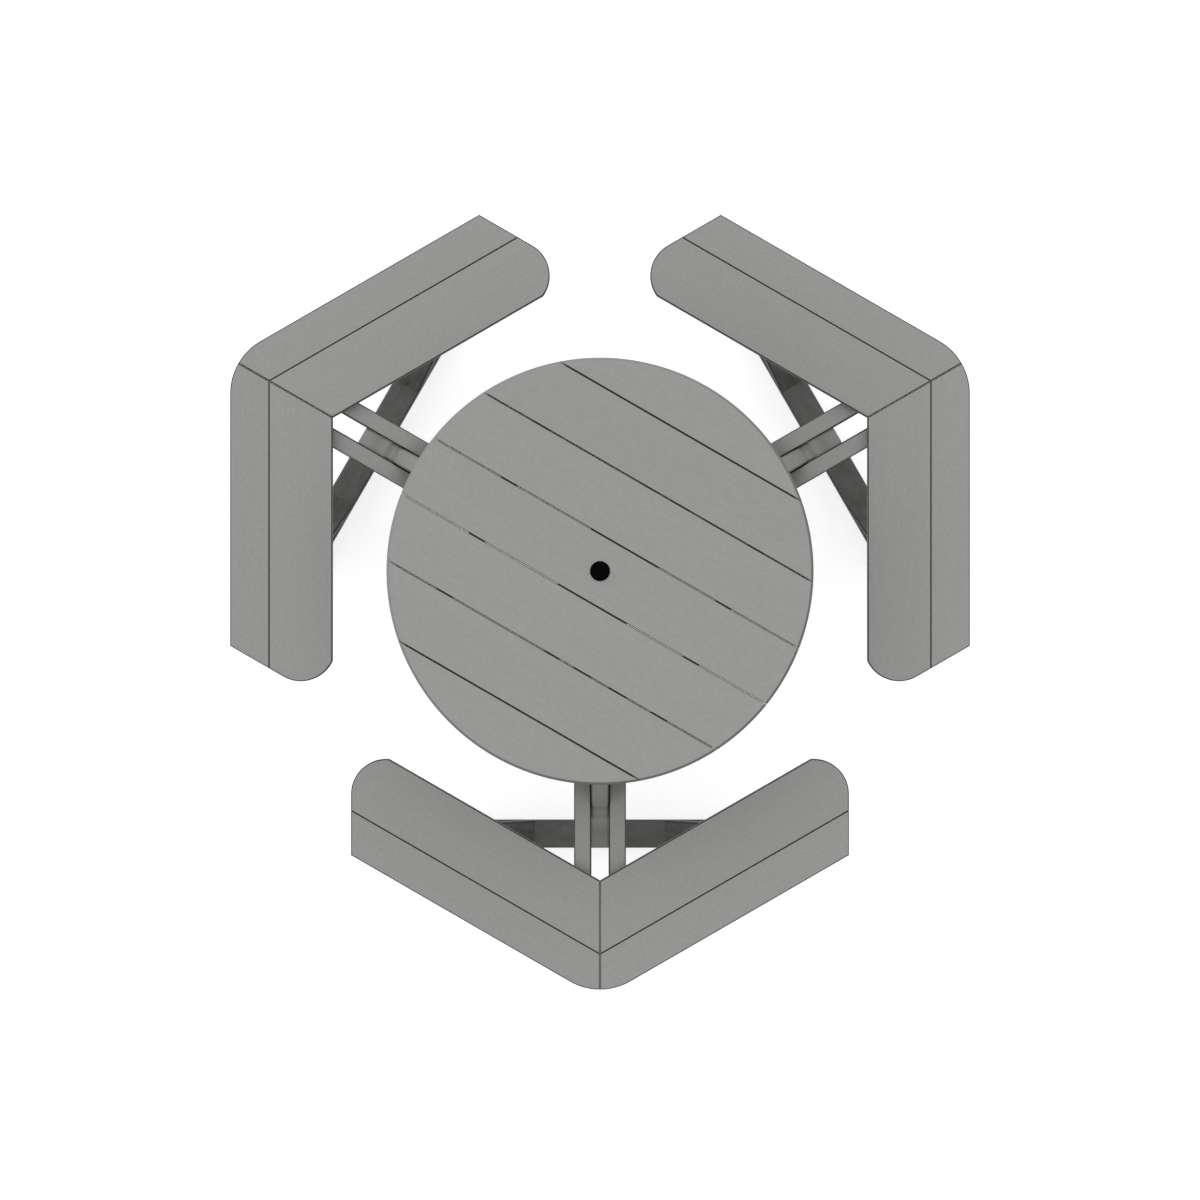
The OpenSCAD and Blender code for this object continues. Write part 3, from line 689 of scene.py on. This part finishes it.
def lumber(node, shift_along):
    """Grey plastic lumber with a fine brushed grain along the node's length.

    Streaks are noise in the piece's own axes, drawn out along the grain, over an even mottle. Where
    a face looks along the grain it is sawn: there the streaks give way to pores. Its rounded edges
    carry painted shade: there a face looks neither along the node's flat direction nor square to it.
    The rim's edges carry less of it, least on the side that the light comes from. The beams carry a
    painted shadow of the top, and a leg is painted lighter between its beams, where they shade it,
    and darker above them. The groove beside a leg is painted black as shade, and all pieces grow
    darker towards the ground, partly grime and partly painted shade.
    """
    shader = Shader(bpy.data.materials.new("lumber_" + node))
    leg = node.endswith("_leg")
    beam = "_seat_beam_" in node
    place = shader.node("ShaderNodeTexCoord", out="Object")
    facing = shader.node("ShaderNodeTexCoord", out="Normal")
    grain = grain_of(node)
    sideways = direction(FRAME_TURNS.get(node.split("_")[0], 0.0) + np.pi / 2)
    side = np.cross(UP, grain)
    side /= np.linalg.norm(side)
    run = shader.along(place, grain) + shift_along
    across = shader.along(place, side)
    rise = shader.along(place, np.cross(grain, side))
    height = shader.along(place, UP)
    level = shader.combined(shader.along(place, (1, 0, 0)), shader.along(place, (0, 1, 0)), 0.0)
    radius = shader.node("ShaderNodeVectorMath", {"operation": "LENGTH"}, {0: level}, out="Value")

    streaks, bands, mottle, scuffs = (
        shader.noise(shader.combined(run * long, across * wide, rise * wide), 1.0, *character)
        for long, wide, *character in (STREAKS, BANDS, MOTTLE, SCUFFS)
    )
    specks, pores = (
        shader.noise(shader.combined(run, across, rise), *character) for character in (SPECKS, PORES)
    )
    pores = pores.step(*PORE_STEP)
    sawn = abs(shader.along(facing, grain)).step(*SAWN_STEP)

    shift = rng.uniform(-TONE_SHIFT, TONE_SHIFT)
    tone = weighed((streaks, bands, mottle, specks), TONE_SHARES) + shift
    skin = shader.blend(tone.step(*TONE_STEP), LUMBER_DARK, LUMBER_LIGHT)
    core = shader.blend(pores * PORE_SHADE, LUMBER_LIGHT, LUMBER_PORE)
    colour = shader.blend(sawn * SAWN_SHADE, skin, core)
    # Painted light: a leg is painted lighter between its beams, where they shade it, and is darker
    # above them
    if leg:
        covered = height.step(*COVERED_FROM) * (1 - height.step(*COVERED_TO))
        colour = shader.blend(covered * LEG_LIT_SHARE, colour, LUMBER_LIT)
        colour = shader.blend(height.step(*OPEN_FROM) * LEG_TOP_DARKER, colour, LUMBER_GRIME_AND_SHADE)
    # Painted shadow of the top on a beam, full under the top and ending past the rim
    if beam:
        colour = shader.blend((1 - radius.step(*TOP_SHADOW_END)) * TOP_SHADOW, colour, LUMBER_GRIME_AND_SHADE)
    # Painted shade on rounded edges: darker where a face looks neither along the flat direction nor
    # square to it
    tilt = abs(shader.along(facing, flat_of(node)))
    wide, narrow = (
        (1 - tilt.step(*flat)) * tilt.step(*EDGE_STEEP) for flat in (EDGE_FLAT, BAR_EDGE_FLAT)
    )
    edge = wide if "_board_" in node or "_plank_" in node else narrow
    if beam:
        inwards = shader.along(facing, -sideways if node.endswith("_b") else sideways)
        edge = narrow + inwards.step(*LOOKS_INWARDS) * (wide - narrow)
    # Painted light: the rim's edges carry less painted shade, least on the side that the light comes
    # from
    if node.startswith("top_plank"):
        lit_side = shader.along(facing, LIGHT_FROM).step(*LIT_SIDE_STEP)
        rim_unshaded = RIM_LESS_SHADE + lit_side * LIT_SIDE_LESS_SHADE * (1 - RIM_LESS_SHADE)
        edge = edge * (1 - radius.step(*RIM_START) * rim_unshaded)
    colour = shader.blend(edge * (LEG_EDGE_SHADE if leg else EDGE_SHADE), colour, LUMBER_EDGE_SHADE)
    # Darker towards the ground: grime, and painted shade where the benches and top shade the feet and
    # braces
    soiled_and_shaded = LEG_GRIME_AND_SHADE if leg else BRACE_GRIME_AND_SHADE if "_brace_" in node else GRIME_AND_SHADE
    grime_and_shade = (LEAST_GRIME_AND_SHADE + scuffs) * (1 - height.step(0.0, GRIME_AND_SHADE_TOP)) * soiled_and_shaded
    colour = shader.blend(grime_and_shade, colour, LUMBER_GRIME_AND_SHADE)
    # Painted shade: the groove between a leg and its beams is painted black where it faces up
    if leg or beam:
        aside = abs(shader.along(place, sideways))
        groove = aside.step(*GROOVE_IN) * (1 - aside.step(*GROOVE_OUT)) * height.step(*GROOVE_FROM)
        beside_leg = radius.step(*GROOVE_START) * (1 - radius.step(*GROOVE_END))
        looks_up = 1 - abs(shader.along(facing, sideways)).step(*LOOKS_ASIDE)
        colour = shader.blend(groove * beside_leg * looks_up, colour, GROOVE_SHADE_BLACK)
    rough = LUMBER_ROUGH + streaks * STREAK_ROUGH + scuffs * SCUFF_ROUGH + sawn * SAWN_ROUGH
    brushed = (1 - sawn) * weighed((streaks, mottle, specks), RELIEF_SHARES)
    relief = brushed + scuffs * SCUFF_DEPTH - sawn * pores * PORE_DEPTH
    return shader.finish(
        Base_Color=colour, Roughness=rough, Normal=shader.bump(relief, RELIEF, RELIEF_STRENGTH),
        Specular_IOR_Level=LUMBER_SHEEN,
    )


def black_plastic():
    """Moulded black plastic with a fine spark-eroded skin."""
    shader = Shader(bpy.data.materials.new("black_plug_plastic"))
    place = shader.node("ShaderNodeTexCoord", out="Object")
    skin = shader.noise(place, *PLUG_SKIN)
    least, more = PLUG_ROUGH
    return shader.finish(
        Base_Color=shader.blend(skin, PLUG_BLACK, PLUG_WORN), Roughness=least + skin * more,
        Normal=shader.bump(skin, *PLUG_RELIEF), Specular_IOR_Level=PLUG_SHEEN,
    )


def powder_coat():
    """Black powder coat: orange peel in the bump and a little dust in the colour."""
    shader = Shader(bpy.data.materials.new("black_powder_coat"))
    place = shader.node("ShaderNodeTexCoord", out="Object")
    peel = shader.noise(place, *COAT_PEEL)
    dust = shader.noise(place, *COAT_DUST)
    least, more = COAT_ROUGH
    return shader.finish(
        Base_Color=shader.blend(dust.step(*DUST_STEP), PLATE_BLACK, PLATE_DUSTY),
        Roughness=least + dust * more, Normal=shader.bump(peel, *COAT_RELIEF),
    )


def stainless():
    """Plain stainless steel with faint turning marks and dull patches."""
    shader = Shader(bpy.data.materials.new("stainless_steel"))
    place = shader.node("ShaderNodeTexCoord", out="Object")
    patches = shader.noise(place, *STEEL_PATCHES)
    marks = shader.noise(place, *STEEL_MARKS)
    least, dull, scored = STEEL_ROUGH
    return shader.finish(
        Base_Color=shader.blend(patches, STEEL_DARK, STEEL_LIGHT), Metallic=1.0,
        Roughness=least + patches * dull + marks * scored, Normal=shader.bump(marks, *STEEL_RELIEF),
    )


def direction(angle, tilt=0.0):
    """A unit vector at an angle about Z, tilted up from the ground."""
    return np.array([np.cos(tilt) * np.cos(angle), np.cos(tilt) * np.sin(angle), np.sin(tilt)])


def grain_of(node):
    """The direction that a lumber node's grain runs in."""
    for name, turn in FRAME_TURNS.items():
        if not node.startswith(name + "_"):
            continue
        part = node[len(name) + 1:]
        side = -1 if part.endswith("_a") else 1
        if "board" in part:
            return direction(turn + side * (ARM_TURN + np.pi / 2))
        if part == "foot":
            return direction(turn + np.pi / 2)
        if part == "leg":
            return direction(turn + np.pi, np.pi / 2 - LEG_LEAN)
        if "brace" in part:
            return direction(turn + side * np.pi / 2, BRACE_TURN)
        return direction(turn)
    return direction(PLANK_TURN + (np.pi / 2 if "cleat" in node else 0))


def flat_of(node):
    """The level direction that a leaning bar's flat sides look along, and up for every other piece."""
    if node.endswith("_leg"):
        return direction(FRAME_TURNS[node.split("_")[0]] + np.pi / 2)
    if "_brace_" in node:
        return direction(FRAME_TURNS[node.split("_")[0]])
    return UP


def dress_top():
    """The seven planks: strips of one disc, with the routed rim's larger rounding at their ends.

    The middle one, bored for the umbrella, is the one that the axis passes through.
    """
    planks = [f"top_plank_{number}" for number in range(1, 8)]
    boxes = {node: node_box(node, PLANK_TURN) for node in planks}
    radius = max(high[0] for low, high in boxes.values())
    for node, (low, high) in boxes.items():
        points, faces = plank(low[1], high[1], radius, low[2], high[2])
        points = turned(points, PLANK_TURN)
        piece(node + "_board", points, faces, finishes[node], "table", "grey_lumber", node)


def dress_benches():
    """The twelve seat boards, each from its outline on side b of a frame, mirrored for side a."""
    outlines = {"inner_board": inner_board_outline, "outer_board": outer_board_outline}
    for name, turn in FRAME_TURNS.items():
        for board, outline_of in outlines.items():
            for side, mirrored in (("b", 1), ("a", -1)):
                node = f"{name}_{board}_{side}"
                low, high = node_box(node, turn + mirrored * ARM_TURN)
                reach = np.abs(turned(node_points(node), -turn)[:, 1]).max()
                outline, edges = outline_of(low[0], high[0], reach)
                points, faces = seat_board(outline, edges, low[2], high[2])
                if mirrored < 0:
                    points[:, 1] *= -1
                    faces = [face[::-1] for face in faces]
                points = turned(points, turn)
                piece(node + "_seat", points, faces, finishes[node], "table", "grey_lumber", node)


def dress_plug():
    """The plug: a flange with a shallow groove and a dished middle, over four barbed fingers.

    The dish's depth at a share of the radius falls with the square of that share.
    """
    low, high = node_box("umbrella_plug")
    flange_r, top, tip = high[0], high[2], low[2]
    seat = top - PLUG_FLANGE
    shank_r = HOLE_R - PLUG_PLAY
    inside = shank_r - PLUG_WALL
    swing = np.linspace(0, np.pi / 2, EDGE_STEPS + 1)
    centre_r, centre_z = flange_r - PLUG_ROUNDING, top - PLUG_ROUNDING
    rim = [(centre_r + PLUG_ROUNDING * np.cos(a), centre_z + PLUG_ROUNDING * np.sin(a)) for a in swing]
    sinks = (0.0, PLUG_GROOVE, PLUG_GROOVE, 0.0)
    groove = [(flange_r - inwards, top - sink) for inwards, sink in zip(PLUG_GROOVE_AT, sinks)]
    dish = [(r * flange_r, top - PLUG_DISH * (1 - (r / PLUG_DISH_REACH) ** 2)) for r in PLUG_DISH_STEPS]
    flange = [(inside * PLUG_DISH_STEPS[-1], seat), (inside, seat),
              (flange_r - PLUG_EASING, seat), (flange_r, seat + PLUG_EASING)]
    cap = lathe(flange + rim + groove + dish, PLUG_SEGMENTS)

    slot_top = tip + (seat - tip) * PLUG_SLOT_SHARE
    wall = [(inside, slot_top), (shank_r, slot_top), (shank_r, seat), (inside, seat)]
    collar = revolved(wall, COLLAR_SEGMENTS)
    narrow, straight, tip_rise = FINGER_TIP
    finger = [
        (inside, tip), (shank_r - narrow, tip), (shank_r - straight, tip + tip_rise),
        (shank_r + BARB, tip + BARB_HEIGHTS[0]), (shank_r, tip + BARB_HEIGHTS[1]),
        (shank_r, slot_top), (inside, slot_top),
    ]
    quarter = np.pi / 2
    half_slot = np.arcsin(PLUG_SLOT / 2 / shank_r)
    fingers = [
        revolved(finger, FINGER_SEGMENTS, start + half_slot, start + quarter - half_slot)
        for start in quarter * np.arange(4)
    ]
    points, faces = joined([cap, collar, *fingers])
    plastic = black_plastic()
    piece("umbrella_plug_moulding", points, faces, plastic, "plug", "black_plug", "umbrella_plug")


def dress_plates():
    """The two hub plates: flat rings whose corners are eased in two steps."""
    coat = powder_coat()
    eased = ((PLATE_EDGE, 0.0), (PLATE_EDGE / 3, PLATE_EDGE / 3), (0.0, PLATE_EDGE))
    for node in ("upper_hub_plate", "lower_hub_plate"):
        low, high = node_box(node)
        outer, under, over = high[0], low[2], high[2]
        profile = [(outer - r, under + z) for r, z in eased]
        profile += [(outer - r, over - z) for r, z in eased[::-1]]
        profile += [(HOLE_R + r, over - z) for r, z in eased]
        profile += [(HOLE_R + r, under + z) for r, z in eased[::-1]]
        points, faces = revolved(profile, PLATE_SEGMENTS)
        piece(node + "_disc", points, faces, coat, "table", "black_plate", node)


def dress_bolts(metal):
    """Bolts and nuts, each on its CAD solid: the head faces the frame's +Y side, the nut the other."""
    head, head_faces = hex_head(0)
    nut, nut_faces = hex_head(BOLT_R + BOLT_BORE_PLAY)
    tip = [(BOLT_R * POLE_SHARE, 0.0), (BOLT_R - BOLT_TIP, 0.0), (BOLT_R, BOLT_TIP)]
    bolts, nuts = [], []
    for node in ("frame_bolts", "frame_nuts"):
        for solid in solids_of(node):
            middle = (solid.min(axis=0) + solid.max(axis=0)) / 2
            turn = max(FRAME_TURNS.values(), key=lambda a: np.dot(direction(a), middle))
            sideways = direction(turn + np.pi / 2)
            reach = (solid - middle) @ sideways
            thick = FLANGE_T + HEX_HEIGHT
            if node == "frame_nuts":
                seat = middle + sideways * (reach.min() + thick)
                nuts.append((aimed(nut, seat, -sideways), nut_faces))
                continue
            seat = middle + sideways * (reach.max() - thick)
            bolts.append((aimed(head, seat, sideways), head_faces))
            length = reach.max() - reach.min() - thick
            profile = tip + [(BOLT_R, length), (BOLT_R * POLE_SHARE, length)]
            shank, shank_faces = lathe(profile, SHANK_SEGMENTS)
            bolts.append((aimed(shank, middle + sideways * reach.min(), sideways), shank_faces))
    for node, made in (("frame_bolts", bolts), ("frame_nuts", nuts)):
        points, faces = joined(made)
        piece(node + "_turned", points, faces, metal, "table", "stainless_steel", node)


def dress_screws(metal):
    """Timber screws, driven upwards: a pan head with a six-lobed recess, a plain shank and a point.

    The recess's radius is r (1 + lobe cos 6a) at angle a.
    """
    angles = np.linspace(0, 2 * np.pi, SCREW_SEGMENTS, endpoint=False)
    lobes = RECESS_R * (1 + RECESS_LOBE * np.cos(6 * angles))
    edge_width, edge_depth = RECESS_EDGE
    made = []
    for solid in solids_of("timber_screws"):
        low, high = solid.min(axis=0), solid.max(axis=0)
        base, point = low[2], high[2]
        rings = [
            (lobes * RECESS_TAPER, base + RECESS_DEPTH),
            (lobes, base + edge_depth), (lobes + edge_width, base),
        ]
        rings += [(SCREW_HEAD_R - inwards, base + rise) for inwards, rise in SCREW_HEAD_ROUNDING]
        rings += [
            (SCREW_HEAD_R, base + SCREW_HEAD_H), (SCREW_R, base + SCREW_HEAD_H),
            (SCREW_R, point - SCREW_TIP), (SCREW_R * SCREW_POINT_SHARE, point),
        ]
        points = ringed(rings, angles)
        points[:, :2] += (low[:2] + high[:2]) / 2
        made.append(closed_tube(points, len(rings), len(angles)))
    points, faces = joined(made)
    piece("timber_screws_turned", points, faces, metal, "table", "stainless_steel", "timber_screws")


def make_floor():
    """A plain pale floor. The camera sees it as white except where the table shades it."""
    mesh = bpy.data.meshes.new("floor")
    corners = [(FLOOR_REACH * x, FLOOR_REACH * y, 0) for x, y in ((-1, -1), (1, -1), (1, 1), (-1, 1))]
    mesh.from_pydata(corners, [], [(0, 1, 2, 3)])
    floor = bpy.data.objects.new("floor", mesh)
    floor.location.z = -FLOOR_DROP
    bpy.context.scene.collection.objects.link(floor)
    shader = Shader(bpy.data.materials.new("pale_floor"))
    camera, glossy, transmission = (
        shader.node("ShaderNodeLightPath", out=name)
        for name in ("Is Camera Ray", "Is Glossy Ray", "Is Transmission Ray")
    )
    seen = camera + glossy + transmission
    matt = shader.node("ShaderNodeBsdfDiffuse", None, {"Color": (*FLOOR_GREY, 1.0)})
    glow = shader.node("ShaderNodeEmission", None, {"Color": WHITE, "Strength": seen * FLOOR_LIFT})
    both = shader.node("ShaderNodeAddShader", None, {0: matt, 1: glow})
    shader.node("ShaderNodeOutputMaterial", None, {"Surface": both})
    floor.data.materials.append(shader.owner)


def make_light():
    """An even pale sky that is a little brighter towards one side, and plain white to the camera."""
    world = bpy.data.worlds.new("studio")
    bpy.context.scene.world = world
    sky = Shader(world)
    seen = (sky.node("ShaderNodeLightPath", out="Is Camera Ray")
            + sky.node("ShaderNodeLightPath", out="Is Transmission Ray"))
    lean = sky.along(sky.node("ShaderNodeTexCoord", out="Generated"), SKY_LEAN)
    strength = (1 + lean) * SKY_LEVEL
    light = sky.node("ShaderNodeBackground", None, {"Color": WHITE, "Strength": strength})
    white = sky.node("ShaderNodeBackground", None, {"Color": WHITE})
    both = sky.node("ShaderNodeMixShader", None, {0: seen, 1: light, 2: white})
    sky.node("ShaderNodeOutputWorld", None, {"Surface": both})


def make_camera():
    """Looks straight down, with the photo's perspective."""
    data = bpy.data.cameras.new("camera")
    data.sensor_width = CAMERA_SENSOR
    data.lens = CAMERA_LENS
    data.clip_end = CAMERA_REACH
    camera = bpy.data.objects.new("camera", data)
    camera.location = CAMERA_AT
    bpy.context.scene.collection.objects.link(camera)
    bpy.context.scene.camera = camera


rng = np.random.default_rng(SEED)
slots = {row["node"]: row["material_slot"] for row in frame["record"]["subparts"]}
finishes = {
    node: lumber(node, NODE_SHIFT * number)
    for number, node in enumerate(sorted(slots)) if slots[node] == "grey_lumber"
}
for node, finish in finishes.items():
    materials = frame["nodes"][node].data.materials
    materials.clear()
    materials.append(finish)

steel = stainless()
dress_top()
dress_benches()
dress_plug()
dress_plates()
dress_bolts(steel)
dress_screws(steel)
make_floor()
make_light()
make_camera()
bpy.context.scene.view_settings.view_transform = "Standard"
